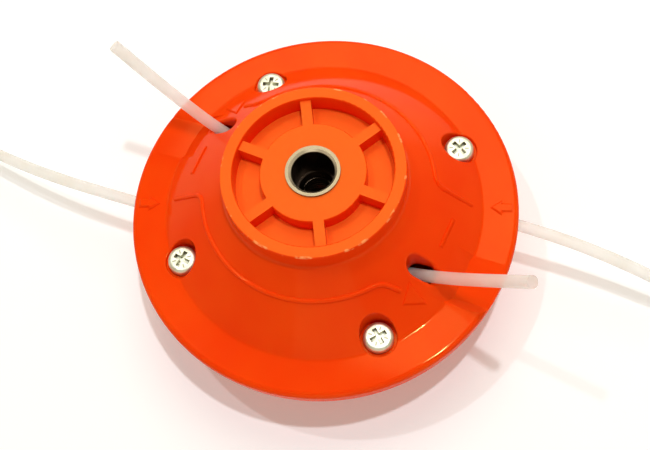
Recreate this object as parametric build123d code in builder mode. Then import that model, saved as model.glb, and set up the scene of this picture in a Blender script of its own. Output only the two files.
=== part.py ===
from build123d import *
import os
from math import atan2, cos, degrees, hypot, pi, radians, sin, sqrt, tan

# Fixed line trimmer head, in millimetres. The hub side is up, the base rests on Z = 0, the spindle axis is Z
# and the two line channels run along X. Everything off the axis comes twice, half a turn apart.

# Whole head: from the base to the hub's top face, and the two like sides
body_height = 52.0
side_count = 2

# Upper housing: flat rim, conical dome and ribbed hub ring
rim_radius = 57.5
rim_edge_radius = 1.6
skirt_height = 3.0
wall = 2.5
dome_foot_radius = 47.0
dome_foot_fillet = 1.2
dome_rise = 18.5
hub_radius = 26.0
hub_rise = 6.5
hub_wall = 3.5
hub_foot_fillet = 2.5
hub_edge = 0.4
pocket_depth = 6.5
boss_radius = 15.0
boss_drop = 1.3
rib_count = 6
rib_width = 3.0
rib_angle = -5.0

# Lower housing: edge band, sloping wall and flat base
base_radius = 38.0
base_edge_radius = 5.0
band_height = 3.5
band_inset = 0.5
spigot_wall = 2.4
spigot_height = 0.4
joint_clearance = 0.1

# Hub bush, held by a hexagonal flange between the two housings
bush_radius = 7.7
bush_proud = 0.7
bush_bore_radius = 6.0
bush_bore_depth = 12.0
bush_thread_radius = 4.3
bush_mouth_chamfer = 0.8
bush_ledge_chamfer = 1.0
flange_across_flats = 22.0
flange_sides = 6
flange_height = 6.0
flange_drop = 7.0
flange_clearance = 0.1
hub_tube_wall = 2.5
hub_post_wall = 2.8

# Cover screws
screw_count = 4
screw_circle_radius = 44.0
screw_angle = 40.4
screw_turns = (18.0, 62.0, 40.0, 8.0)
screw_head_radius = 4.3
screw_head_height = 3.1
screw_head_round = 1.2
screw_seat_drop = 1.1
screw_shank_radius = 2.0
screw_hole_clearance = 0.2
screw_length = 12.0
screw_tip_chamfer = 0.8
screw_pocket_clearance = 0.9
screw_pocket_lip = 0.4
screw_post_wall = 3.0
recess_span = 5.0
recess_arm = 1.3
recess_depth = 1.3
recess_taper = 8.0

# Nylon lines: one route from the free end, in at the rim, through the head and out of the dome slot.
# Its heights are measured from the rim's top face.
line_radius = 1.75
line_offset = 13.0
line_route = [
    (-128.0, -5.0, -17.5),
    (-108.5, -8.8, -13.6),
    (-87.0, -11.8, -9.4),
    (-66.0, -13.0, -6.4),
    (-36.0, -13.0, -5.8),
    (-9.0, -13.0, -4.7),
    (13.0, -13.0, -3.6),
    (31.0, -12.6, -0.8),
    (48.0, -14.5, 13.0),
    (65.5, -17.2, 34.0),
]
arc_share = 0.45

# Rim inlets and their steel eyelets
eyelet_radius = 3.0
eyelet_bore_clearance = 0.55
eyelet_length = 9.0
eyelet_mouth_fillet = 0.4
inlet_boss_wall = 2.0

# Dome slots and the shallow fan-shaped recesses outside them
slot_width = 5.4
slot_inner_end = 30.7
slot_outer_end = 38.6
slot_lip = 0.8
slot_line_clearance = 0.45
slot_collar_wall = 2.0
slot_collar_rise = 3.5
fan_start_radius = 42.0
fan_upper_edge = -2.3
fan_lower_edge = -18.3
fan_flank = 2.5
fan_flank_drop = 1.2
fan_dome_depth = 1.0
fan_rim_depth = 1.4

# Raised marks on the dome and the rim
mark_height = 0.6
mark_chamfer = 0.4
guide_radius = 33.5
guide_width = 1.5
guide_start_angle = 199.0
guide_end_angle = 320.5
guide_inlet = (43.8, 195.3)
guide_outlet = (37.6, 326.0)
guide_corners = 10
guide_arc_share = 0.97
guide_inlet_bend = 4.0
guide_outlet_bend = 5.0
pointer_length = 6.0
pointer_width = 6.4
pointer_tip = (38.8, -20.9)
bar_ends = ((38.1, -5.4), (39.1, 4.2))
bar_width = 1.0
rim_arrow_angle = 195.8
rim_arrow_radius = 52.4
rim_arrow_length = 6.4
rim_arrow_head = 3.4
rim_arrow_head_width = 4.8
rim_arrow_shaft_width = 2.6

# Walls in the lower housing that the cams press the lines against
guide_wall = 2.0
guide_wall_gap = 0.2
guide_wall_end = -10.0

# Grip cams on their pins, between the two lines
cam_pivot = (-34.0, -1.0)
cam_hub_radius = 5.0
cam_nose_reach = 7.5
cam_nose_radius = 4.5
cam_thickness = 6.0
cam_drop = 8.6
cam_line_gap = 0.15
cam_end_float = 0.15
cam_seat_gap = 0.05
cam_tooth_count = 6
cam_tooth_size = 0.8
cam_tooth_sides = 4
cam_tooth_arc = 100.0
cam_sleeve_wall = 0.9
pin_radius = 2.0
pin_clearance = 0.05
pin_grip = 7.0
pin_chamfer = 0.4
pin_post_radius = 9.0
pin_post_drop = 14.0
pin_boss_radius = 5.0

# Torsion springs around the cam sleeves
spring_wire_radius = 0.45
spring_clearance = 0.3
spring_turns = 2
spring_pitch = 1.6
coil_corners = 6
coil_arc_share = 0.97
spring_leg = 8.5
spring_seat_gap = 0.6
spring_peg_radius = 0.9
spring_peg_gap = 0.05
spring_peg_share = 0.8

# Worked out from the sizes above
rim_top = body_height - hub_rise - dome_rise
skirt_bottom = rim_top - skirt_height
rim_underside = rim_top - wall
dome_top = rim_top + dome_rise
hub_top = body_height
pocket_floor = hub_top - pocket_depth
ceiling = pocket_floor - wall
boss_top = hub_top - boss_drop
hub_inner_radius = hub_radius - hub_wall
dome_slope = dome_rise / (dome_foot_radius - hub_radius)
wall_drop = wall * sqrt(1 + dome_slope**2)
band_radius = rim_radius - band_inset
band_bottom = skirt_bottom - band_height
spigot_radius = rim_radius - wall - joint_clearance
spigot_inner_radius = spigot_radius - spigot_wall
spigot_top = skirt_bottom + spigot_height
side_slope = (band_radius - base_radius) / band_bottom
side_wall = wall * sqrt(1 + side_slope**2)
bush_top = boss_top + bush_proud
flange_top = rim_top - flange_drop
bush_bottom = flange_top - flange_height
hub_tube_radius = bush_radius + hub_tube_wall
hub_post_radius = flange_across_flats / 2 / cos(pi / flange_sides) + hub_post_wall
screw_seat = rim_top - screw_seat_drop
screw_pocket_radius = screw_head_radius + screw_pocket_clearance
screw_column_radius = screw_pocket_radius + wall
screw_post_radius = screw_shank_radius + screw_post_wall
screw_hole_bottom = screw_seat - screw_length - screw_tip_chamfer
route = [(x, y, rim_top + rise) for x, y, rise in line_route]
eyelet_bore_radius = line_radius + eyelet_bore_clearance
inlet_boss_radius = eyelet_radius + inlet_boss_wall
inlet_x = -sqrt(band_radius**2 - line_offset**2)
inlet_run = (route[4][2] - route[3][2]) / (route[4][0] - route[3][0])
inlet_height = route[3][2] + (inlet_x + eyelet_length / 2 - route[3][0]) * inlet_run
fan_floor = rim_top - fan_rim_depth
fan_reach = 2 * (fan_upper_edge - fan_lower_edge)
fan_fall = fan_reach * fan_flank_drop / fan_flank
guide_bead_radius = (guide_width**2 / 4 + mark_height**2) / (2 * mark_height)
guide_sink = (guide_bead_radius - mark_height) * sqrt(1 + dome_slope**2)
guide_wall_y = -line_offset - line_radius - guide_wall_gap - guide_wall / 2
cam_bottom = rim_top - cam_drop
cam_top = cam_bottom + cam_thickness
cam_nose_y = -line_offset + line_radius + cam_line_gap + cam_nose_radius
cam_nose = (cam_pivot[0] + cam_nose_reach, cam_nose_y)
cam_nose_angle = degrees(atan2(cam_nose[1] - cam_pivot[1], cam_nose_reach))
cam_sleeve_radius = pin_radius + cam_sleeve_wall
pin_boss_bottom = cam_top + cam_end_float
pin_post_top = rim_top - pin_post_drop
pin_bottom = pin_post_top - pin_grip
pin_top = pin_boss_bottom + pin_grip
spring_radius = cam_sleeve_radius + spring_clearance + spring_wire_radius
coil_corner_reach = spring_radius / cos(pi / coil_corners)
spring_bottom = pin_post_top + spring_seat_gap + spring_wire_radius
spring_top = spring_bottom + spring_turns * spring_pitch
spring_peg_reach = spring_leg * spring_peg_share
spring_peg_offset = spring_radius - spring_wire_radius - spring_peg_radius - spring_peg_gap
above_all = hub_top + wall


def dome_radius(height):
    """Distance from the axis of the dome's outer cone at a height."""
    return dome_foot_radius - (height - rim_top) / dome_slope


def dome_height(radius):
    """Height of the dome's outer cone at a distance from the axis."""
    return rim_top + (dome_foot_radius - radius) * dome_slope


def side_radius(height):
    """Distance from the axis of the lower housing's sloping outer wall at a height."""
    return base_radius + height * side_slope


def side_height(radius):
    """Height of the lower housing's sloping outer wall at a distance from the axis."""
    return (radius - base_radius) / side_slope


def from_pivot(along, across):
    """Plan point measured from a cam's pivot, along the direction of its nose and to the left of it."""
    angle = radians(cam_nose_angle)
    return (
        cam_pivot[0] + along * cos(angle) - across * sin(angle),
        cam_pivot[1] + along * sin(angle) + across * cos(angle),
    )


def polar(radius, angle):
    """Plan point at a distance and an angle in degrees from the axis."""
    return (radius * cos(radians(angle)), radius * sin(radians(angle)))


def corner(sketch, radius, height):
    """The corner of a half section that lies nearest to a radius and a height."""
    return sketch.vertices().sort_by_distance((radius, height, 0))[0]


def save(piece, name):
    """Label a finished piece and write it as its own file."""
    piece.part.label = name
    export_step(piece.part, f"parts/{name}.step")


def save_pair(piece, name):
    """Write a piece and its copy half a turn round the axis."""
    for number in range(side_count):
        with BuildPart() as placed:
            with PolarLocations(0, 1, number * 360 / side_count):
                add(piece.part)
        save(placed, f"{name}_{number + 1}")


def bend_radii(points):
    """Arc radius at each inner point of a route: as large as the shorter of its two runs allows."""
    radii = []
    for before, here, after in zip(points, points[1:], points[2:]):
        run_in = Vector(here) - Vector(before)
        run_out = Vector(after) - Vector(here)
        half_bend = radians(run_in.get_angle(run_out)) / 2
        radii.append(arc_share * min(run_in.length, run_out.length) / tan(half_bend))
    return radii


os.makedirs("parts", exist_ok=True)

# Hollow under the upper housing, less the columns, bosses and slot collars that hang in it
with BuildPart() as upper_hollow:
    with BuildSketch(Plane.XZ):
        with BuildLine():
            Polyline(
                (hub_tube_radius, skirt_bottom),
                (rim_radius - wall, skirt_bottom),
                (rim_radius - wall, rim_underside),
                (dome_radius(rim_underside + wall_drop), rim_underside),
                (dome_radius(ceiling + wall_drop), ceiling),
                (hub_tube_radius, ceiling),
                close=True,
            )
        make_face()
    revolve(axis=Axis.Z)
    with BuildSketch(Plane.XY.offset(skirt_bottom)):
        with PolarLocations(screw_circle_radius, screw_count, screw_angle):
            Circle(screw_column_radius)
    extrude(amount=above_all, mode=Mode.SUBTRACT)
    with BuildSketch(Plane.XY.offset(pin_boss_bottom)):
        with PolarLocations(0, side_count):
            with Locations(cam_pivot):
                Circle(pin_boss_radius)
    extrude(amount=above_all, mode=Mode.SUBTRACT)
    with BuildSketch(Plane.XY.offset(rim_top + slot_collar_rise)):
        with PolarLocations(0, side_count):
            with Locations(((slot_inner_end + slot_outer_end) / 2, -line_offset)):
                SlotOverall(
                    slot_outer_end - slot_inner_end + 2 * slot_collar_wall,
                    slot_width + 2 * slot_collar_wall,
                )
    extrude(amount=above_all, mode=Mode.SUBTRACT)

# Tool for one dome slot: an upright slot and a bore along the line where it climbs out of the dome
with BuildPart() as slot_tool:
    with BuildSketch(Plane.XY.offset(rim_underside)):
        with Locations(((slot_inner_end + slot_outer_end) / 2, -line_offset)):
            SlotOverall(slot_outer_end - slot_inner_end, slot_width)
    extrude(amount=hub_top)
    climb = Vector(route[8]) - Vector(route[7])
    with BuildSketch(Plane(origin=route[7], z_dir=climb)):
        Circle(line_radius + slot_line_clearance)
    extrude(amount=climb.length)

# Tool for one fan recess: a tilted ramp on the rim, a dome that sinks outward and a slanting flank down it
fan_foot_radius = dome_radius(fan_floor + fan_dome_depth)
fan_slope = (dome_height(fan_start_radius) - fan_floor) / (fan_foot_radius - fan_start_radius)
fan_crest = dome_height(hypot(hub_radius, fan_upper_edge))
with BuildPart() as fan_tool:
    with BuildSketch(Plane.YZ.offset(hub_radius)):
        with BuildLine():
            Polyline(
                (fan_upper_edge, dome_top),
                (fan_upper_edge, rim_top),
                (fan_lower_edge + fan_flank, fan_floor),
                (fan_lower_edge, rim_top),
                (fan_lower_edge, dome_top),
                close=True,
            )
        make_face()
    extrude(amount=rim_radius)
    with BuildSketch(Plane.XZ):
        with BuildLine():
            Polyline(
                (hub_radius, fan_floor + (fan_foot_radius - hub_radius) * fan_slope),
                (fan_foot_radius, fan_floor),
                (rim_radius + wall, fan_floor),
                (rim_radius + wall, above_all),
                (hub_radius, above_all),
                close=True,
            )
        make_face()
    revolve(axis=Axis.Z, mode=Mode.INTERSECT)
    with BuildSketch(Plane.YZ.offset(hub_radius)):
        with BuildLine():
            Polyline(
                (fan_upper_edge + fan_reach, fan_crest + fan_fall),
                (fan_upper_edge - fan_reach, fan_crest - fan_fall),
                (fan_upper_edge - fan_reach, fan_crest + fan_reach),
                (fan_upper_edge + fan_reach, fan_crest + fan_reach),
                close=True,
            )
        make_face()
    extrude(amount=rim_radius, dir=Vector(1, 0, -dome_slope), mode=Mode.INTERSECT)

# Rounded guide bead of one side, half sunk in the dome: in from the rim, round the hub, out to the pointer
guide_step = (guide_end_angle - guide_start_angle) / guide_corners
guide_route = [(*polar(*guide_inlet), dome_height(guide_inlet[0]) - guide_sink)]
for step in range(guide_corners + 1):
    corner_plan = polar(guide_radius / cos(radians(guide_step / 2)), guide_start_angle + guide_step * step)
    guide_route.append((*corner_plan, dome_height(guide_radius) - guide_sink))
guide_route.append((*polar(*guide_outlet), dome_height(guide_outlet[0]) - guide_sink))
guide_bends = [guide_inlet_bend, *[guide_radius * guide_arc_share] * (guide_corners - 1), guide_outlet_bend]
with BuildPart() as guide_bead:
    with BuildLine() as guide_path:
        FilletPolyline(*guide_route, radius=guide_bends)
    with BuildSketch(Plane(guide_path.line @ 0, z_dir=guide_path.line % 0)):
        Circle(guide_bead_radius)
    sweep(path=guide_path.line)

# Flat raised marks of one side: pointer, bar beside the slot, arrow on the rim
with BuildPart() as marks:
    with BuildSketch():
        with BuildLine():
            Line(*bar_ends)
        trace(line_width=bar_width)
        with BuildLine():
            Polyline(
                pointer_tip,
                (pointer_tip[0] - pointer_length, pointer_tip[1] + pointer_width / 2),
                (pointer_tip[0] - pointer_length, pointer_tip[1] - pointer_width / 2),
                close=True,
            )
        make_face()
        with PolarLocations(rim_arrow_radius, 1, rim_arrow_angle):
            Polygon(
                (-rim_arrow_length / 2, 0),
                (rim_arrow_head - rim_arrow_length / 2, -rim_arrow_head_width / 2),
                (rim_arrow_head - rim_arrow_length / 2, -rim_arrow_shaft_width / 2),
                (rim_arrow_length / 2, -rim_arrow_shaft_width / 2),
                (rim_arrow_length / 2, rim_arrow_shaft_width / 2),
                (rim_arrow_head - rim_arrow_length / 2, rim_arrow_shaft_width / 2),
                (rim_arrow_head - rim_arrow_length / 2, rim_arrow_head_width / 2),
                align=None,
            )
    extrude(amount=above_all)
    with BuildSketch(Plane.XZ):
        with BuildLine():
            Polyline(
                (hub_radius, dome_top - mark_height),
                (dome_foot_radius, rim_top - mark_height),
                (rim_radius, rim_top - mark_height),
                (rim_radius, rim_top + mark_height),
                (dome_foot_radius, rim_top + mark_height),
                (hub_radius, dome_top + mark_height),
                close=True,
            )
        make_face()
    revolve(axis=Axis.Z, mode=Mode.INTERSECT)
    mark_tops = marks.faces().filter_by(lambda face: round(face.normal_at().Z) > 0)
    chamfer([edge for top in mark_tops for edge in top.edges()], mark_chamfer)

with BuildPart() as upper_housing:
    with BuildSketch(Plane.XZ) as section:
        with BuildLine():
            Polyline(
                (bush_radius, skirt_bottom),
                (rim_radius, skirt_bottom),
                (rim_radius, rim_top),
                (dome_foot_radius, rim_top),
                (hub_radius, dome_top),
                (hub_radius, hub_top),
                (hub_inner_radius, hub_top),
                (hub_inner_radius, pocket_floor),
                (boss_radius, pocket_floor),
                (boss_radius, boss_top),
                (bush_radius, boss_top),
                close=True,
            )
        make_face()
        fillet(corner(section, rim_radius, rim_top), rim_edge_radius)
        fillet(corner(section, dome_foot_radius, rim_top), dome_foot_fillet)
        fillet(corner(section, hub_radius, dome_top), hub_foot_fillet)
        for edge_radius in (hub_radius, hub_inner_radius):
            fillet(corner(section, edge_radius, hub_top), hub_edge)
        fillet(corner(section, boss_radius, boss_top), hub_edge)
    revolve(axis=Axis.Z)
    with BuildSketch(Plane.XY.offset(pocket_floor)):
        with PolarLocations((boss_radius + hub_inner_radius) / 2, rib_count, rib_angle):
            Rectangle(hub_inner_radius - boss_radius + hub_wall, rib_width)
    extrude(amount=boss_top - pocket_floor)
    with BuildSketch(Plane.XY.offset(flange_top)):
        Circle(hub_tube_radius)
        Circle(bush_radius, mode=Mode.SUBTRACT)
    extrude(amount=skirt_bottom - flange_top)
    add(upper_hollow.part, mode=Mode.SUBTRACT)
    with PolarLocations(0, side_count):
        add(slot_tool.part, mode=Mode.SUBTRACT)
    dome_face = upper_housing.faces().filter_by(GeomType.CONE).sort_by(SortBy.AREA)[-1]
    fillet([edge for wire in dome_face.inner_wires() for edge in wire.edges()], slot_lip)
    with PolarLocations(0, side_count):
        add(fan_tool.part, mode=Mode.SUBTRACT)
        add(guide_bead.part)
        add(marks.part)
    with BuildSketch(Plane.XY.offset(screw_seat)):
        with PolarLocations(screw_circle_radius, screw_count, screw_angle):
            Circle(screw_pocket_radius)
    extrude(amount=dome_rise, mode=Mode.SUBTRACT)
    pocket_edges = upper_housing.edges(Select.LAST).filter_by(GeomType.LINE, reverse=True)
    pocket_mouths = pocket_edges.filter_by(lambda edge: edge.center().Z > rim_top - screw_seat_drop / 2)
    fillet(pocket_mouths, screw_pocket_lip)
    with BuildSketch(Plane.XY.offset(skirt_bottom)):
        with PolarLocations(screw_circle_radius, screw_count, screw_angle):
            Circle(screw_shank_radius + screw_hole_clearance)
    extrude(amount=skirt_height, mode=Mode.SUBTRACT)
    with BuildSketch(Plane.XY.offset(pin_boss_bottom)):
        with PolarLocations(0, side_count):
            with Locations(cam_pivot):
                Circle(pin_radius)
    extrude(amount=pin_grip, mode=Mode.SUBTRACT)
save(upper_housing, "upper_housing")

# Round boss that carries one eyelet, flush with the lower housing's edge band
with BuildPart() as inlet_boss:
    with BuildSketch(Plane.YZ.offset(inlet_x + eyelet_length)):
        with Locations((-line_offset, inlet_height)):
            Circle(inlet_boss_radius)
    extrude(amount=-rim_radius)
    with BuildSketch():
        Circle(band_radius)
    extrude(amount=skirt_bottom, mode=Mode.INTERSECT)

# Hole through one inlet boss, along the line
with BuildPart() as inlet_hole:
    with BuildSketch(Plane.YZ.offset(inlet_x + eyelet_length)):
        with Locations((-line_offset, inlet_height)):
            Circle(eyelet_radius)
    extrude(amount=-rim_radius)

# Hollow in the lower housing, less the posts, pegs and walls that stand in it
with BuildPart() as lower_hollow:
    with BuildSketch(Plane.XZ):
        with BuildLine():
            Polyline(
                (0, wall),
                (side_radius(wall) - side_wall, wall),
                (spigot_inner_radius, side_height(spigot_inner_radius + side_wall)),
                (spigot_inner_radius, spigot_top),
                (0, spigot_top),
                close=True,
            )
        make_face()
    revolve(axis=Axis.Z)
    with BuildSketch():
        with PolarLocations(screw_circle_radius, screw_count, screw_angle):
            Circle(screw_post_radius)
        with PolarLocations(0, side_count):
            with Locations(((inlet_x + eyelet_length + guide_wall_end) / 2, guide_wall_y)):
                Rectangle(guide_wall_end - inlet_x - eyelet_length, guide_wall)
    extrude(amount=skirt_bottom, mode=Mode.SUBTRACT)
    with BuildSketch():
        Circle(hub_post_radius)
    extrude(amount=flange_top, mode=Mode.SUBTRACT)
    with BuildSketch():
        with PolarLocations(0, side_count):
            with Locations(cam_pivot):
                Circle(pin_post_radius)
    extrude(amount=pin_post_top, mode=Mode.SUBTRACT)
    with BuildSketch():
        with PolarLocations(0, side_count):
            with Locations(from_pivot(-spring_peg_reach, spring_peg_offset)):
                Circle(spring_peg_radius)
    extrude(amount=spring_bottom + spring_wire_radius, mode=Mode.SUBTRACT)
    with PolarLocations(0, side_count):
        add(inlet_boss.part, mode=Mode.SUBTRACT)

with BuildPart() as lower_housing:
    with BuildSketch(Plane.XZ) as section:
        with BuildLine():
            Polyline(
                (0, 0),
                (base_radius, 0),
                (band_radius, band_bottom),
                (band_radius, skirt_bottom),
                (spigot_radius, skirt_bottom),
                (spigot_radius, spigot_top),
                (0, spigot_top),
                close=True,
            )
        make_face()
        fillet(corner(section, base_radius, 0), base_edge_radius)
    revolve(axis=Axis.Z)
    with PolarLocations(0, side_count):
        add(inlet_boss.part)
    add(lower_hollow.part, mode=Mode.SUBTRACT)
    with BuildSketch(Plane.XY.offset(bush_bottom)):
        RegularPolygon(flange_across_flats / 2 + flange_clearance, flange_sides, major_radius=False)
    extrude(amount=flange_height, mode=Mode.SUBTRACT)
    with BuildSketch(Plane.XY.offset(screw_hole_bottom)):
        with PolarLocations(screw_circle_radius, screw_count, screw_angle):
            Circle(screw_shank_radius)
    extrude(amount=skirt_bottom - screw_hole_bottom, mode=Mode.SUBTRACT)
    with BuildSketch(Plane.XY.offset(pin_bottom)):
        with PolarLocations(0, side_count):
            with Locations(cam_pivot):
                Circle(pin_radius)
    extrude(amount=pin_grip, mode=Mode.SUBTRACT)
    with PolarLocations(0, side_count):
        add(inlet_hole.part, mode=Mode.SUBTRACT)
save(lower_housing, "lower_housing")

with BuildPart() as hub_bush:
    with BuildSketch(Plane.XY.offset(bush_bottom)):
        Circle(bush_radius)
    extrude(amount=bush_top - bush_bottom)
    with BuildSketch(Plane.XY.offset(bush_bottom)):
        RegularPolygon(flange_across_flats / 2, flange_sides, major_radius=False)
    extrude(amount=flange_height)
    with BuildSketch(Plane.XZ):
        with BuildLine():
            Polyline(
                (0, bush_bottom),
                (bush_thread_radius, bush_bottom),
                (bush_thread_radius, bush_top - bush_bore_depth - bush_ledge_chamfer),
                (bush_thread_radius + bush_ledge_chamfer, bush_top - bush_bore_depth),
                (bush_bore_radius, bush_top - bush_bore_depth),
                (bush_bore_radius, bush_top - bush_mouth_chamfer),
                (bush_bore_radius + bush_mouth_chamfer, bush_top),
                (0, bush_top),
                close=True,
            )
        make_face()
    revolve(axis=Axis.Z, mode=Mode.SUBTRACT)
save(hub_bush, "hub_bush")

# Pan-head screw with a cross recess, standing on its seat at the origin
with BuildPart() as cover_screw:
    with BuildSketch(Plane.XZ) as section:
        with BuildLine():
            Polyline(
                (0, -screw_length - screw_tip_chamfer),
                (screw_shank_radius - screw_tip_chamfer, -screw_length - screw_tip_chamfer),
                (screw_shank_radius, -screw_length),
                (screw_shank_radius, 0),
                (screw_head_radius, 0),
                (screw_head_radius, screw_head_height),
                (0, screw_head_height),
                close=True,
            )
        make_face()
        fillet(corner(section, screw_head_radius, screw_head_height), screw_head_round)
    revolve(axis=Axis.Z)
    with BuildSketch(Plane.XY.offset(screw_head_height)):
        Rectangle(recess_span, recess_arm)
        Rectangle(recess_arm, recess_span)
    extrude(amount=-recess_depth, taper=recess_taper, mode=Mode.SUBTRACT)
for number in range(screw_count):
    with BuildPart() as placed_screw:
        with PolarLocations(screw_circle_radius, 1, screw_angle + number * 360 / screw_count):
            with Locations(Location((0, 0, screw_seat), (0, 0, screw_turns[number % len(screw_turns)]))):
                add(cover_screw.part)
    save(placed_screw, f"cover_screw_{number + 1}")

with BuildPart() as line_eyelet:
    with BuildSketch(Plane.YZ.offset(inlet_x)):
        with Locations((-line_offset, inlet_height)):
            Circle(eyelet_radius)
            Circle(eyelet_bore_radius, mode=Mode.SUBTRACT)
    extrude(amount=eyelet_length)
    mouth = line_eyelet.edges().filter_by(GeomType.CIRCLE).filter_by(lambda edge: edge.radius < eyelet_radius)
    fillet(mouth, eyelet_mouth_fillet)
save_pair(line_eyelet, "line_eyelet")

with BuildPart() as grip_cam:
    with BuildSketch(Plane.XY.offset(cam_bottom)):
        with Locations(cam_pivot):
            Circle(cam_hub_radius)
        with Locations(cam_nose):
            Circle(cam_nose_radius)
        make_hull()
        with Locations(cam_nose):
            with PolarLocations(cam_nose_radius, cam_tooth_count, -90 - cam_tooth_arc / 2, cam_tooth_arc):
                RegularPolygon(cam_tooth_size, cam_tooth_sides, mode=Mode.SUBTRACT)
    extrude(amount=cam_thickness)
    with BuildSketch(Plane.XY.offset(pin_post_top + cam_seat_gap)):
        with Locations(cam_pivot):
            Circle(cam_sleeve_radius)
    extrude(amount=cam_bottom - pin_post_top - cam_seat_gap)
    with BuildSketch(Plane.XY.offset(spring_top - spring_wire_radius)):
        with Locations(from_pivot(spring_peg_reach, spring_peg_offset)):
            Circle(spring_peg_radius)
    extrude(amount=cam_bottom - spring_top + spring_wire_radius)
    with BuildSketch(Plane.XY.offset(pin_post_top)):
        with Locations(cam_pivot):
            Circle(pin_radius + pin_clearance)
    extrude(amount=cam_top - pin_post_top, mode=Mode.SUBTRACT)
save_pair(grip_cam, "grip_cam")

with BuildPart() as cam_pin:
    with BuildSketch(Plane.XY.offset(pin_bottom)):
        with Locations(cam_pivot):
            Circle(pin_radius)
    extrude(amount=pin_top - pin_bottom)
    chamfer(cam_pin.edges().filter_by(GeomType.CIRCLE), pin_chamfer)
save_pair(cam_pin, "cam_pin")

# Left-hand coil standing at the origin, of straight runs and arcs, whose two legs run along -Y
coil_route = []
for step in range(spring_turns * coil_corners):
    turn_share = (step + 0.5) / coil_corners
    coil_route.append((*polar(coil_corner_reach, -360 * turn_share), spring_pitch * turn_share))
with BuildPart() as coil_spring:
    with BuildLine() as spring_wire:
        FilletPolyline(
            (spring_radius, spring_leg, 0),
            *coil_route,
            (spring_radius, -spring_leg, spring_turns * spring_pitch),
            radius=spring_radius * coil_arc_share,
        )
    with BuildSketch(Plane(spring_wire.line @ 0, z_dir=spring_wire.line % 0)):
        Circle(spring_wire_radius)
    sweep(path=spring_wire.line)
with BuildPart() as cam_spring:
    with Locations(Location((*cam_pivot, spring_bottom), (0, 0, cam_nose_angle + 90))):
        add(coil_spring.part)
save_pair(cam_spring, "cam_spring")

with BuildPart() as trimmer_line:
    with BuildLine() as line_path:
        FilletPolyline(*route, radius=bend_radii(route))
    with BuildSketch(Plane(line_path.line @ 0, z_dir=line_path.line % 0)):
        Circle(line_radius)
    sweep(path=line_path.line)
save_pair(trimmer_line, "trimmer_line")

line_length = line_path.wire().length
print("line bend radii", [round(radius) for radius in bend_radii(route)])
print("line length", round(line_length, 1))
print("line volume share", round(trimmer_line.part.volume / (pi * line_radius**2 * line_length), 5))
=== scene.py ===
# %% [markdown]
# A fixed line trimmer head: two orange nylon housings screwed together round a steel hub bush, with two short
# lengths of trimmer line pushed through them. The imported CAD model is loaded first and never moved.
# Everything made here is in metres in that same frame, so a new piece needs no fitting: it is built where the
# CAD says it is.

# %% Load the frame
import math

import bmesh
import bpy
from mathutils import Matrix, Vector


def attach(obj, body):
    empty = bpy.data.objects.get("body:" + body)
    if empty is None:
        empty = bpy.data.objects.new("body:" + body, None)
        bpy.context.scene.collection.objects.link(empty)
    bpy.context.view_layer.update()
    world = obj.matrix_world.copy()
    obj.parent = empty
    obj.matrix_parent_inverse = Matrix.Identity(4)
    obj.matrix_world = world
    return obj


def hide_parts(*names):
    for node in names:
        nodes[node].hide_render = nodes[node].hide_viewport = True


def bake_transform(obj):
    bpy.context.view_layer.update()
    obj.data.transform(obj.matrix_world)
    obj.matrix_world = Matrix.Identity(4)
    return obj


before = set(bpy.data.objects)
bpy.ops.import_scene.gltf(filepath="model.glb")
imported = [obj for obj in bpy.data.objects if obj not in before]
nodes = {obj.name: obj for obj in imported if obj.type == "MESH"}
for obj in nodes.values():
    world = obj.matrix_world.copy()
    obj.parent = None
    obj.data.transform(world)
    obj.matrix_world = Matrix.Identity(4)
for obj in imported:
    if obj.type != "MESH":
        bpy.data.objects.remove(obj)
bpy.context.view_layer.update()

MM = 0.001
print("CAD pieces:", len(nodes))

# %% [markdown]
# Four helpers serve every finish. Colours are picked as sRGB hex values, as on a screen, but a shader works
# in linear light, so the first converts them. The second adds a node, sets its properties and fills its
# sockets with values or with links from other nodes, which keeps each material to a few readable lines. The
# third starts an empty material, and the last turns a real size in millimetres into a texture's scale.

# %% Helpers for colours and nodes
def linear(hex_colour):
    """An sRGB hex colour as linear red, green, blue and alpha."""
    levels = [int(hex_colour[i:i + 2], 16) / 255 for i in (1, 3, 5)]
    return [c / 12.92 if c <= 0.04045 else ((c + 0.055) / 1.055) ** 2.4 for c in levels] + [1.0]


def add_node(tree, kind, sockets=None, **settings):
    """Add a node: settings are its properties, sockets are values or links by socket name or number."""
    node = tree.nodes.new(kind)
    for name, value in settings.items():
        setattr(node, name, value)
    for key, value in (sockets or {}).items():
        if isinstance(value, bpy.types.NodeSocket):
            tree.links.new(value, node.inputs[key])
        else:
            node.inputs[key].default_value = value
    return node


def new_material(name):
    """An empty material with its node tree, and the tree's output node."""
    material = bpy.data.materials.new(name)
    material.use_nodes = True
    material.node_tree.nodes.clear()
    output = add_node(material.node_tree, "ShaderNodeOutputMaterial")
    return material, material.node_tree, output


def per_mm(size):
    """Texture scale for a pattern of about so many millimetres, on Object coordinates in metres."""
    return 1 / (size * MM)


# %% [markdown]
# The camera stands where the photographer stood: in front of the head, high up, with the picture turned a
# little. Its direction and its distance in rim radii were worked out from the ellipses of the rim, the hub
# ring and the bore. The shift only places the head in the frame.

# %% Camera
PHOTO_WIDTH = 650
AIM = Vector((0, 0, 27 * MM))
AZIMUTH = math.radians(33.2)
ELEVATION = math.radians(65.84)
ROLL = math.radians(15.22)
DISTANCE = 316.25 * MM

to_camera = Vector((math.sin(AZIMUTH) * math.cos(ELEVATION), -math.cos(AZIMUTH) * math.cos(ELEVATION),
                    math.sin(ELEVATION)))
level_right = Vector((math.cos(AZIMUTH), math.sin(AZIMUTH), 0))
level_up = to_camera.cross(level_right)
right = math.cos(ROLL) * level_right - math.sin(ROLL) * level_up
up = math.sin(ROLL) * level_right + math.cos(ROLL) * level_up

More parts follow.
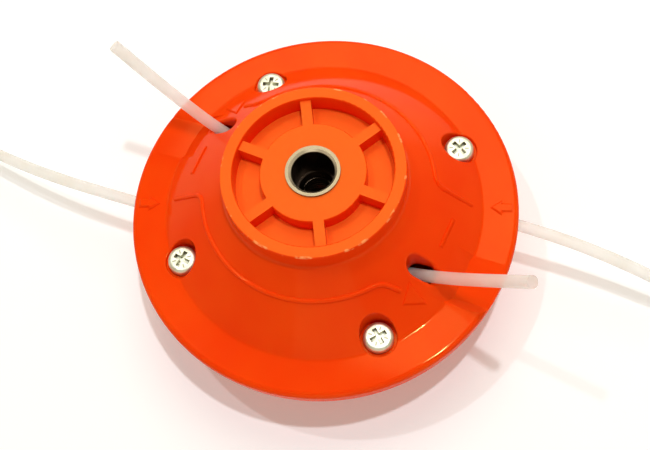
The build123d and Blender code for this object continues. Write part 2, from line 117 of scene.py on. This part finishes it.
camera_data = bpy.data.cameras.new("camera")
camera_data.lens = 59.2
camera_data.sensor_width = 36
camera_data.shift_x = 2.9 / PHOTO_WIDTH
camera_data.shift_y = -19.4 / PHOTO_WIDTH
camera = bpy.data.objects.new("camera", camera_data)
camera.matrix_world = Matrix.Translation(AIM + to_camera * DISTANCE) @ Matrix(
    (right, up, to_camera)).transposed().to_4x4()
bpy.context.scene.collection.objects.link(camera)
bpy.context.scene.camera = camera
print("camera at", [round(c, 3) for c in camera.location])

# %% [markdown]
# Trimmer line is extruded nylon, milky and see-through: against a white table it looks almost white, and over
# the orange it takes on the colour behind it. Some light goes straight through, which also keeps its shadow
# light, some is blurred by the milky core and the rest scatters just under the skin. The grain is a little
# coarser than the real one.

# %% Nylon line finish
def make_line_nylon():
    material, tree, output = new_material("extruded_clear_nylon")
    place = add_node(tree, "ShaderNodeTexCoord")
    cloud = add_node(tree, "ShaderNodeTexNoise", {
        "Vector": place.outputs["Object"],
        "Scale": per_mm(9),
        "Detail": 3,
    })
    tint = add_node(tree, "ShaderNodeValToRGB", {"Fac": cloud.outputs["Fac"]})
    tint.color_ramp.elements[0].position = 0.3
    tint.color_ramp.elements[0].color = linear("#F3EEE4")
    tint.color_ramp.elements[1].position = 0.7
    tint.color_ramp.elements[1].color = linear("#FFFDF8")
    grain = add_node(tree, "ShaderNodeTexNoise", {"Vector": place.outputs["Object"], "Scale": per_mm(0.7)})
    bump = add_node(tree, "ShaderNodeBump", {
        "Height": grain.outputs["Fac"],
        "Strength": 0.25,
        "Distance": 0.02 * MM,
    })
    shader = add_node(tree, "ShaderNodeBsdfPrincipled", {
        "Base Color": tint.outputs["Color"],
        "Roughness": 0.35,
        "IOR": 1.53,
        "Alpha": 0.55,
        "Transmission Weight": 0.3,
        "Subsurface Weight": 0.5,
        "Subsurface Radius": (1.0, 0.9, 0.8),
        "Subsurface Scale": 1.5 * MM,
        "Normal": bump.outputs["Normal"],
    })
    tree.links.new(shader.outputs["BSDF"], output.inputs["Surface"])
    return material


line_nylon = make_line_nylon()
print("finish:", line_nylon.name)

# %% [markdown]
# Each line is one pre-cut length. It goes in at the rim, is gripped inside, comes up through the dome slot
# and ends in a short cut stub above the dome. A NURBS curve along the CAD route, with a round bevel, gives
# one smooth bend from end to end. The second line is the first turned half round the spindle.

# %% Trimmer lines
LINE_DIAMETER = 3.5 * MM
LINE_ROUTE = [
    (-0.128, -0.005, 0.0095),
    (-0.1085, -0.0088, 0.0134),
    (-0.087, -0.0118, 0.0176),
    (-0.066, -0.013, 0.0206),
    (-0.036, -0.013, 0.0212),
    (-0.009, -0.013, 0.0223),
    (0.013, -0.013, 0.0234),
    (0.031, -0.0126, 0.0262),
    (0.048, -0.0145, 0.040),
    (0.0655, -0.0172, 0.061),
]
LINE_EXIT = Vector((0.0482, -0.0146, 0.0417))


def half_turn(point):
    """The same place on the other side of the spindle."""
    return Vector((-point[0], -point[1], point[2]))


def make_line(name, points):
    data = bpy.data.curves.new(name, "CURVE")
    data.dimensions = "3D"
    data.bevel_depth = LINE_DIAMETER / 2
    data.bevel_resolution = 6
    data.resolution_u = 12
    data.use_fill_caps = True
    spline = data.splines.new("NURBS")
    spline.points.add(len(points) - 1)
    for control, point in zip(spline.points, points):
        control.co = (*point, 1)
    spline.order_u = 3
    spline.use_endpoint_u = True
    line = bpy.data.objects.new(name, data)
    bpy.context.scene.collection.objects.link(line)
    data.materials.append(line_nylon)
    return line


for number, points, exit_point in (
    (1, LINE_ROUTE, LINE_EXIT),
    (2, [half_turn(p) for p in LINE_ROUTE], half_turn(LINE_EXIT)),
):
    line = make_line(f"nylon_line_{number}", points)
    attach(line, "head")
    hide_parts(f"trimmer_line_{number}")
    print("line", number, "leaves its slot at", [round(c, 4) for c in exit_point])

# %% [markdown]
# The housings are injection moulded in orange nylon. The tool was polished, so the dome and the rim are
# glossy, while the level faces of the hub were left as cut by the spark, which looks matt. Those level faces
# are also painted a paler orange, a painted highlight for faces that look up to the lamps. A soft cloudiness
# from the flow of the plastic breaks the single colour, and the ring's outer edge has pale nicks where it was
# trimmed. Its gloss is warm and nearly the same from every side: the specular level is low, and a tint above
# one makes up for it. A little light comes through the thin walls.

# %% Orange nylon finish
HUB_FLOOR_HEIGHT = 45.2 * MM
RING_EDGE_RADIUS = 25.4 * MM
RING_EDGE_HEIGHT = 51.3 * MM
LEVEL_FACE = 0.9
GLOSS_TINT = (7.0, 5.5, 1.6, 1.0)


def make_orange_nylon():
    material, tree, output = new_material("moulded_orange_nylon")
    place = add_node(tree, "ShaderNodeTexCoord")
    surface = add_node(tree, "ShaderNodeNewGeometry")
    spot = add_node(tree, "ShaderNodeSeparateXYZ", {"Vector": place.outputs["Object"]})
    facing = add_node(tree, "ShaderNodeSeparateXYZ", {"Vector": surface.outputs["True Normal"]})
    above = add_node(tree, "ShaderNodeMath", {0: spot.outputs["Z"], 1: HUB_FLOOR_HEIGHT},
                     operation="GREATER_THAN")
    level = add_node(tree, "ShaderNodeMath", {0: facing.outputs["Z"], 1: LEVEL_FACE},
                     operation="GREATER_THAN")
    spark_finish_and_lit_top = add_node(tree, "ShaderNodeMath", {0: above.outputs[0], 1: level.outputs[0]}, operation="MULTIPLY")

    flow = add_node(tree, "ShaderNodeTexNoise", {
        "Vector": place.outputs["Object"],
        "Scale": per_mm(26),
        "Detail": 2,
    })
    body_tint = add_node(tree, "ShaderNodeValToRGB", {"Fac": flow.outputs["Fac"]})
    body_tint.color_ramp.elements[0].position = 0.3
    body_tint.color_ramp.elements[0].color = linear("#F03A05")
    body_tint.color_ramp.elements[1].position = 0.7
    body_tint.color_ramp.elements[1].color = linear("#F54608")
    # Painted highlight: level hub faces that look up take a paler orange; their roughness and bump are the
    # real finish.
    colour = add_node(tree, "ShaderNodeMix", {
        "Factor": spark_finish_and_lit_top.outputs[0],
        6: body_tint.outputs["Color"],
        7: linear("#FB631B"),
    }, data_type="RGBA")

    plan = add_node(tree, "ShaderNodeCombineXYZ", {"X": spot.outputs["X"], "Y": spot.outputs["Y"]})
    reach = add_node(tree, "ShaderNodeVectorMath", {0: plan.outputs[0]}, operation="LENGTH")
    outer = add_node(tree, "ShaderNodeMath", {0: reach.outputs["Value"], 1: RING_EDGE_RADIUS},
                     operation="GREATER_THAN")
    edge = add_node(tree, "ShaderNodeMath", {0: spot.outputs["Z"], 1: RING_EDGE_HEIGHT},
                    operation="GREATER_THAN")
    ring_edge = add_node(tree, "ShaderNodeMath", {0: outer.outputs[0], 1: edge.outputs[0]},
                         operation="MULTIPLY")
    nick = add_node(tree, "ShaderNodeTexNoise", {
        "Vector": place.outputs["Object"],
        "Scale": per_mm(2.4),
        "Detail": 3,
    })
    nick_spot = add_node(tree, "ShaderNodeMapRange", {
        "Value": nick.outputs["Fac"],
        "From Min": 0.56,
        "From Max": 0.66,
    })
    nicked = add_node(tree, "ShaderNodeMath", {0: nick_spot.outputs["Result"], 1: ring_edge.outputs[0]},
                      operation="MULTIPLY")
    worn_colour = add_node(tree, "ShaderNodeMix", {
        "Factor": nicked.outputs[0],
        6: colour.outputs[2],
        7: linear("#FF9A5E"),
    }, data_type="RGBA")

    peel = add_node(tree, "ShaderNodeTexNoise", {
        "Vector": place.outputs["Object"],
        "Scale": per_mm(5),
        "Detail": 2,
    })
    gloss = add_node(tree, "ShaderNodeMapRange", {
        "Value": peel.outputs["Fac"],
        "To Min": 0.06,
        "To Max": 0.1,
    })
    roughness = add_node(tree, "ShaderNodeMix", {
        "Factor": spark_finish_and_lit_top.outputs[0],
        2: gloss.outputs["Result"],
        3: 0.5,
    })
    spark = add_node(tree, "ShaderNodeTexNoise", {"Vector": place.outputs["Object"], "Scale": per_mm(0.5)})
    spark_strength = add_node(tree, "ShaderNodeMapRange", {
        "Value": spark_finish_and_lit_top.outputs[0],
        "To Min": 0.02,
        "To Max": 0.35,
    })
    bump = add_node(tree, "ShaderNodeBump", {
        "Height": spark.outputs["Fac"],
        "Strength": spark_strength.outputs["Result"],
        "Distance": 0.05 * MM,
    })
    shader = add_node(tree, "ShaderNodeBsdfPrincipled", {
        "Base Color": worn_colour.outputs[2],
        "Roughness": roughness.outputs[0],
        "IOR": 1.53,
        "Specular IOR Level": 0.03,
        "Specular Tint": GLOSS_TINT,
        "Subsurface Weight": 0.25,
        "Subsurface Radius": (1.0, 0.12, 0.03),
        "Subsurface Scale": 3 * MM,
        "Normal": bump.outputs["Normal"],
    })
    tree.links.new(shader.outputs["BSDF"], output.inputs["Surface"])
    return material


orange_nylon = make_orange_nylon()
for name in ("upper_housing", "lower_housing"):
    nodes[name].material_slots[0].material = orange_nylon
print("finish:", orange_nylon.name)

# %% [markdown]
# The cover screws are steel with a thin zinc plating, which has a faint yellow-green cast and is brighter
# where the driver rubbed it. A slow noise varies the cast and the roughness, with grains of about 2 mm, and
# the cross recess gets painted shade: where Ambient Occlusion finds it hollow, the colour goes dark.

# %% Zinc plated screws
RECESS_REACH = 0.9 * MM


def make_zinc():
    material, tree, output = new_material("zinc_plated_steel")
    place = add_node(tree, "ShaderNodeTexCoord")
    cast = add_node(tree, "ShaderNodeTexNoise", {
        "Vector": place.outputs["Object"],
        "Scale": per_mm(2),
        "Detail": 4,
    })
    tint = add_node(tree, "ShaderNodeValToRGB", {"Fac": cast.outputs["Fac"]})
    tint.color_ramp.elements[0].position = 0.35
    tint.color_ramp.elements[0].color = linear("#D2D5BC")
    tint.color_ramp.elements[1].position = 0.65
    tint.color_ramp.elements[1].color = linear("#F1F4E0")
    rough = add_node(tree, "ShaderNodeMapRange", {
        "Value": cast.outputs["Fac"],
        "To Min": 0.56,
        "To Max": 0.46,
    })
    # Painted shade: the colour goes dark in the cross recess, where Ambient Occlusion finds it hollow.
    recess_occlusion = add_node(tree, "ShaderNodeAmbientOcclusion", {"Distance": RECESS_REACH}, samples=6)
    unshaded_share = add_node(tree, "ShaderNodeMapRange", {
        "Value": recess_occlusion.outputs["AO"],
        "From Min": 0.35,
        "From Max": 0.85,
    })
    colour = add_node(tree, "ShaderNodeMix", {
        "Factor": unshaded_share.outputs["Result"],
        6: linear("#55523F"),
        7: tint.outputs["Color"],
    }, data_type="RGBA")
    shader = add_node(tree, "ShaderNodeBsdfPrincipled", {
        "Base Color": colour.outputs[2],
        "Metallic": 1.0,
        "Roughness": rough.outputs["Result"],
    })
    tree.links.new(shader.outputs["BSDF"], output.inputs["Surface"])
    return material


zinc = make_zinc()
screws = [nodes[f"cover_screw_{number}"] for number in (1, 2, 3, 4)]
for screw in screws:
    screw.material_slots[0].material = zinc
print("finish:", zinc.name, "on", len(screws), "screws")

# %% [markdown]
# The hub bush is turned steel. Its end face is dull and shows fine rings from the lathe, drawn a little
# coarser than the real feed. The chamfer at its mouth is given a painted highlight, a pale colour, and its
# bore is given painted shade, a dark colour. The distance from the axis tells the three apart.

# %% Turned steel bush
BORE_EDGE_RADIUS = 6.15 * MM
MOUTH_EDGE_RADIUS = 6.8 * MM
TOOL_MARK = 0.3 * MM
WAVE_PERIOD = math.pi / 10


def make_turned_steel():
    material, tree, output = new_material("turned_steel")
    place = add_node(tree, "ShaderNodeTexCoord")
    spot = add_node(tree, "ShaderNodeSeparateXYZ", {"Vector": place.outputs["Object"]})
    plan = add_node(tree, "ShaderNodeCombineXYZ", {"X": spot.outputs["X"], "Y": spot.outputs["Y"]})
    reach = add_node(tree, "ShaderNodeVectorMath", {0: plan.outputs[0]}, operation="LENGTH")
    # Painted shade inside the bore and a painted highlight on the chamfer at its mouth, both set by the
    # distance from the axis.
    bore_shade = add_node(tree, "ShaderNodeMath", {0: reach.outputs["Value"], 1: BORE_EDGE_RADIUS},
                      operation="LESS_THAN")
    mouth_highlight = add_node(tree, "ShaderNodeMath", {0: reach.outputs["Value"], 1: MOUTH_EDGE_RADIUS},
                     operation="LESS_THAN")
    end_face_and_mouth_highlight = add_node(tree, "ShaderNodeMix", {
        "Factor": mouth_highlight.outputs[0],
        6: linear("#8D846D"),
        7: linear("#E9DFC6"),
    }, data_type="RGBA")
    colour = add_node(tree, "ShaderNodeMix", {
        "Factor": bore_shade.outputs[0],
        6: end_face_and_mouth_highlight.outputs[2],
        7: linear("#4A3D31"),
    }, data_type="RGBA")
    rings = add_node(tree, "ShaderNodeTexWave", {
        "Vector": place.outputs["Object"],
        "Scale": WAVE_PERIOD / TOOL_MARK,
        "Distortion": 0.6,
    }, wave_type="RINGS", rings_direction="Z")
    bump = add_node(tree, "ShaderNodeBump", {
        "Height": rings.outputs["Fac"],
        "Strength": 0.3,
        "Distance": 0.02 * MM,
    })
    shader = add_node(tree, "ShaderNodeBsdfPrincipled", {
        "Base Color": colour.outputs[2],
        "Metallic": 1.0,
        "Roughness": 0.3,
        "Normal": bump.outputs["Normal"],
    })
    tree.links.new(shader.outputs["BSDF"], output.inputs["Surface"])
    return material


turned_steel = make_turned_steel()
nodes["hub_bush"].material_slots[0].material = turned_steel
print("finish:", turned_steel.name)

# %% [markdown]
# Geometry Nodes make what repeats or follows a rule. One helper starts a tree with named inputs for its
# sizes. The other runs a tree on a start mesh, keeps the result as a plain mesh and takes the modifier away
# again. An input is set by its socket's identifier, which is what the modifier stores.

# %% Helpers for node trees
def new_tree(name, inputs):
    """A Geometry Nodes tree with a Geometry input, the given float inputs and a Geometry output."""
    tree = bpy.data.node_groups.new(name, "GeometryNodeTree")
    tree.interface.new_socket("Geometry", in_out="INPUT", socket_type="NodeSocketGeometry")
    for title in inputs:
        tree.interface.new_socket(title, in_out="INPUT", socket_type="NodeSocketFloat")
    tree.interface.new_socket("Geometry", in_out="OUTPUT", socket_type="NodeSocketGeometry")
    return tree, add_node(tree, "NodeGroupInput"), add_node(tree, "NodeGroupOutput")


def grow(name, start_mesh, tree, sizes):
    """Run a tree on a start mesh and keep what it makes as a plain mesh object."""
    piece = bpy.data.objects.new(name, start_mesh)
    bpy.context.scene.collection.objects.link(piece)
    rule = piece.modifiers.new("rule", "NODES")
    rule.node_group = tree
    for socket in tree.interface.items_tree:
        if socket.in_out == "INPUT" and socket.name in sizes:
            rule[socket.identifier] = sizes[socket.name]
    seen = bpy.context.evaluated_depsgraph_get()
    mesh = bpy.data.meshes.new_from_object(piece.evaluated_get(seen))
    piece.modifiers.remove(rule)
    piece.data = mesh
    mesh.name = name
    print(name, "faces:", len(mesh.polygons))
    return piece


# %% [markdown]
# Each screw head has a cross recess with a small tick between every two arms; each tick is a thin bar in a
# darker steel colour, a painted shade for a pressed-in groove. The four screw centres are the start mesh, and
# an attribute holds how far each screw was turned when it was driven home. The tree puts four ticks on a ring
# and that ring on each centre.

# %% Screw head ticks
SCREW_CIRCLE = 44 * MM
SCREW_ANGLE = 40.4
SCREW_TURNS = (18, 62, 40, 8)
SCREW_TOP = 29.0 * MM
TICK_RING = 2.3 * MM
TICK_SIZE = (1.1 * MM, 0.32 * MM, 0.12 * MM)


def make_tick_tree(finish):
    tree, given, result = new_tree("screw_tick_rule",
                                   ("Ring Radius", "Tick Length", "Tick Width", "Tick Height"))
    tick_size = add_node(tree, "ShaderNodeCombineXYZ", {
        "X": given.outputs["Tick Length"],
        "Y": given.outputs["Tick Width"],
        "Z": given.outputs["Tick Height"],
    })
    tick = add_node(tree, "GeometryNodeMeshCube", {"Size": tick_size.outputs["Vector"]})
    ring = add_node(tree, "GeometryNodeMeshCircle", {"Vertices": 4, "Radius": given.outputs["Ring Radius"]})
    place = add_node(tree, "GeometryNodeInputIndex")
    quarter = add_node(tree, "ShaderNodeMath", {0: place.outputs["Index"], 1: math.pi / 2},
                       operation="MULTIPLY")
    outward = add_node(tree, "ShaderNodeCombineXYZ", {"Z": quarter.outputs[0]})
    four = add_node(tree, "GeometryNodeInstanceOnPoints", {
        "Points": ring.outputs["Mesh"],
        "Instance": tick.outputs["Mesh"],
        "Rotation": outward.outputs["Vector"],
    })
    turn = add_node(tree, "GeometryNodeInputNamedAttribute", {"Name": "turn"}, data_type="FLOAT")
    driven = add_node(tree, "ShaderNodeCombineXYZ", {"Z": turn.outputs["Attribute"]})
    heads = add_node(tree, "GeometryNodeInstanceOnPoints", {
        "Points": given.outputs["Geometry"],
        "Instance": four.outputs["Instances"],
        "Rotation": driven.outputs["Vector"],
    })
    real = add_node(tree, "GeometryNodeRealizeInstances", {"Geometry": heads.outputs["Instances"]})
    painted = add_node(tree, "GeometryNodeSetMaterial", {
        "Geometry": real.outputs["Geometry"],
        "Material": finish,
    })
    tree.links.new(painted.outputs["Geometry"], result.inputs["Geometry"])
    return tree


# Painted shade: the darker colour of the ticks stands for the shade in their grooves.
def make_tick_groove_shade():
    material, tree, output = new_material("tick_groove_shade")
    shader = add_node(tree, "ShaderNodeBsdfPrincipled", {
        "Base Color": linear("#A5A48E"),
        "Metallic": 1.0,
        "Roughness": 0.55,
    })
    tree.links.new(shader.outputs["BSDF"], output.inputs["Surface"])
    return material


centre_mesh = bpy.data.meshes.new("screw_centres")
spots = [math.radians(SCREW_ANGLE + 90 * number) for number in range(4)]
centre_mesh.from_pydata(
    [(SCREW_CIRCLE * math.cos(spot), SCREW_CIRCLE * math.sin(spot), SCREW_TOP) for spot in spots], [], [])
turn_values = centre_mesh.attributes.new("turn", "FLOAT", "POINT").data
for value, spot, turn in zip(turn_values, spots, SCREW_TURNS):
    value.value = spot + math.radians(turn + 45)
ticks = grow("screw_ticks", centre_mesh, make_tick_tree(make_tick_groove_shade()),
             {"Ring Radius": TICK_RING, "Tick Length": TICK_SIZE[0], "Tick Width": TICK_SIZE[1],
              "Tick Height": TICK_SIZE[2]})
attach(ticks, "head")

# %% [markdown]
# Below the plain bore, the bush has a left-hand thread for the spindle. In the CAD it is a plain hole at the
# thread's inner diameter. Here a spiral with a three-sided profile shows its ridges, which just stand out of
# that wall.

# %% Spindle thread
THREAD_RADIUS = 4.3 * MM
THREAD_PITCH = 1.25 * MM
THREAD_BOTTOM = 14.4 * MM
THREAD_TURNS = 18.5
THREAD_RIDGE = 0.35 * MM


def make_thread_tree(finish):
    tree, given, result = new_tree("thread_rule", ("Radius", "Pitch", "Turns", "Bottom", "Ridge"))
    height = add_node(tree, "ShaderNodeMath", {0: given.outputs["Pitch"], 1: given.outputs["Turns"]},
                      operation="MULTIPLY")
    path = add_node(tree, "GeometryNodeCurveSpiral", {
        "Resolution": 40,
        "Rotations": given.outputs["Turns"],
        "Start Radius": given.outputs["Radius"],
        "End Radius": given.outputs["Radius"],
        "Height": height.outputs[0],
        "Reverse": True,
    })
    profile = add_node(tree, "GeometryNodeCurvePrimitiveCircle", {
        "Resolution": 3,
        "Radius": given.outputs["Ridge"],
    })
    ridge = add_node(tree, "GeometryNodeCurveToMesh", {
        "Curve": path.outputs["Curve"],
        "Profile Curve": profile.outputs["Curve"],
        "Fill Caps": True,
    })
    lift = add_node(tree, "ShaderNodeCombineXYZ", {"Z": given.outputs["Bottom"]})
    raised = add_node(tree, "GeometryNodeTransform", {
        "Geometry": ridge.outputs["Mesh"],
        "Translation": lift.outputs["Vector"],
    })
    real = add_node(tree, "GeometryNodeRealizeInstances", {"Geometry": raised.outputs["Geometry"]})
    painted = add_node(tree, "GeometryNodeSetMaterial", {
        "Geometry": real.outputs["Geometry"],
        "Material": finish,
    })
    tree.links.new(painted.outputs["Geometry"], result.inputs["Geometry"])
    return tree


thread = grow("bush_thread", bpy.data.meshes.new("thread_start"), make_thread_tree(turned_steel),
              {"Radius": THREAD_RADIUS, "Pitch": THREAD_PITCH, "Turns": THREAD_TURNS,
               "Bottom": THREAD_BOTTOM, "Ridge": THREAD_RIDGE})
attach(thread, "head")

# %% [markdown]
# The pieces that grip the line are steel too. The rim eyelets are plain and bright, worn smooth by the line.
# The cams are hardened, so they are dark grey, their pins are ground bright, and the springs are of drawn
# wire. A fine mottle keeps each of them from looking painted.

# %% Steel of the line grip
def make_plain_steel(name, dark, light, roughness, grain):
    material, tree, output = new_material(name)
    place = add_node(tree, "ShaderNodeTexCoord")
    mottle = add_node(tree, "ShaderNodeTexNoise", {
        "Vector": place.outputs["Object"],
        "Scale": per_mm(grain),
        "Detail": 4,
    })
    tint = add_node(tree, "ShaderNodeValToRGB", {"Fac": mottle.outputs["Fac"]})
    tint.color_ramp.elements[0].position = 0.35
    tint.color_ramp.elements[0].color = linear(dark)
    tint.color_ramp.elements[1].position = 0.65
    tint.color_ramp.elements[1].color = linear(light)
    shader = add_node(tree, "ShaderNodeBsdfPrincipled", {
        "Base Color": tint.outputs["Color"],
        "Metallic": 1.0,
        "Roughness": roughness,
    })
    tree.links.new(shader.outputs["BSDF"], output.inputs["Surface"])
    return material


grip_finishes = {
    "line_eyelet": make_plain_steel("drawn_steel", "#B4B2AC", "#CFCDC7", 0.25, 1.5),
    "grip_cam": make_plain_steel("hardened_steel", "#5E5D5C", "#747270", 0.42, 2.5),
    "cam_pin": make_plain_steel("ground_steel", "#8E8D8A", "#A3A19D", 0.22, 1.5),
    "cam_spring": make_plain_steel("spring_wire_steel", "#77777A", "#97969A", 0.3, 1.0),
}
for piece_name, finish in grip_finishes.items():
    for number in (1, 2):
        nodes[f"{piece_name}_{number}"].material_slots[0].material = finish
print("finishes:", [finish.name for finish in grip_finishes.values()])

# %% [markdown]
# A torsion spring winds round each cam's sleeve. When the cam turns, the upper leg goes with the cam's peg
# while the lower leg stays against the housing, so the coil twists between them. A rigid coil would be cut by
# the peg. Here each spring is copied as one mesh with its doubled points merged, shaded smooth except at
# sharp edges, and put in place of the CAD spring; the copy is not made to twist.

# %% Torsion springs
MERGE_GAP = 0.001 * MM
SHARP_EDGE = math.radians(40)


def twist_spring(number):
    node = nodes[f"cam_spring_{number}"]
    coil = bmesh.new()
    coil.from_mesh(node.data)
    bmesh.ops.remove_doubles(coil, verts=coil.verts, dist=MERGE_GAP)
    for edge in coil.edges:
        edge.smooth = edge.calc_face_angle(0.0) < SHARP_EDGE
    for face in coil.faces:
        face.smooth = True
    mesh = bpy.data.meshes.new(f"torsion_spring_{number}")
    coil.to_mesh(mesh)
    coil.free()
    mesh.materials.append(grip_finishes["cam_spring"])
    spring = bpy.data.objects.new(f"torsion_spring_{number}", mesh)
    bpy.context.scene.collection.objects.link(spring)
    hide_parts(node.name)
    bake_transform(spring)
    return spring


for number in (1, 2):
    spring = twist_spring(number)
    print(spring.name, "twists over", len(spring.data.vertices), "points")

# %% [markdown]
# The table is plain white. A little light of its own, seen by the camera and in reflections only, lifts it to
# the pure white of the photograph, and it still takes the shadow of the head.

# %% White table
TABLE_HALF = 1.6
TABLE_DROP = 0.2 * MM
TABLE_GLOW = 0.14


def make_table():
    material, tree, output = new_material("white_table")
    path = add_node(tree, "ShaderNodeLightPath")
    seen = add_node(tree, "ShaderNodeMath", {
        0: path.outputs["Is Camera Ray"],
        1: path.outputs["Is Glossy Ray"],
    }, operation="MAXIMUM")
    seen = add_node(tree, "ShaderNodeMath", {0: seen.outputs[0], 1: path.outputs["Is Transmission Ray"]},
                    operation="MAXIMUM")
    lift = add_node(tree, "ShaderNodeMath", {0: seen.outputs[0], 1: TABLE_GLOW}, operation="MULTIPLY")
    shader = add_node(tree, "ShaderNodeBsdfPrincipled", {
        "Base Color": linear("#F4F8FA"),
        "Roughness": 0.8,
        "Specular IOR Level": 0.0,
        "Emission Color": linear("#FFFFFF"),
        "Emission Strength": lift.outputs[0],
    })
    tree.links.new(shader.outputs["BSDF"], output.inputs["Surface"])
    mesh = bpy.data.meshes.new("table")
    corners = [(-TABLE_HALF, -TABLE_HALF, 0), (TABLE_HALF, -TABLE_HALF, 0),
               (TABLE_HALF, TABLE_HALF, 0), (-TABLE_HALF, TABLE_HALF, 0)]
    mesh.from_pydata(corners, [], [(0, 1, 2, 3)])
    table = bpy.data.objects.new("table", mesh)
    table.location.z = -TABLE_DROP
    mesh.materials.append(material)
    bpy.context.scene.collection.objects.link(table)
    return table


make_table()
print("table set")

# %% [markdown]
# The shadows in the photograph fall almost straight down and have firm edges, so the main lamp is small and
# hangs overhead, with a weaker one to its left. Small lamps also give the gloss its thin glints. A panel
# behind the head lightens the far side of the rim, and a faint one in front softens the near side. The room
# is brighter near the horizon than above, as with pale walls, so that the sloping dome is as light as the
# level rim.

# %% Lamps
LAMP_AIM = Vector((0, 0, 20 * MM))


def add_lamp(name, place, size, power, colour):
    """A round area lamp at a place in metres, turned to the head."""
    data = bpy.data.lights.new(name, "AREA")
    data.shape = "DISK"
    data.size = size
    data.energy = power
    data.color = linear(colour)[:3]
    lamp = bpy.data.objects.new(name, data)
    lamp.location = place
    lamp.rotation_euler = (LAMP_AIM - Vector(place)).to_track_quat("-Z", "Y").to_euler()
    bpy.context.scene.collection.objects.link(lamp)
    return lamp


add_lamp("overhead_lamp", (0.16, 0.11, 1.18), 0.04, 4.8, "#FBFCFF")
add_lamp("left_lamp", (-0.42, 0.09, 1.15), 0.03, 2.0, "#FBFCFF")
add_lamp("back_panel", (-0.08, 0.50, 0.89), 0.7, 3.6, "#FFF6E6")
add_lamp("front_panel", (0.30, -0.85, 0.45), 0.7, 0.6, "#FFF6E6")

world = bpy.data.worlds.new("room")
world.use_nodes = True
room = world.node_tree.nodes["Background"]
room.inputs["Color"].default_value = linear("#FFEFD6")
look = add_node(world.node_tree, "ShaderNodeTexCoord")
look_up = add_node(world.node_tree, "ShaderNodeSeparateXYZ", {"Vector": look.outputs["Generated"]})
glow = add_node(world.node_tree, "ShaderNodeMapRange", {
    "Value": look_up.outputs["Z"],
    "From Max": 0.8,
    "To Min": 0.78,
    "To Max": 0.22,
})
world.node_tree.links.new(glow.outputs["Result"], room.inputs["Strength"])
bpy.context.scene.world = world
bpy.context.scene.view_settings.view_transform = "Standard"
print("lamps set")
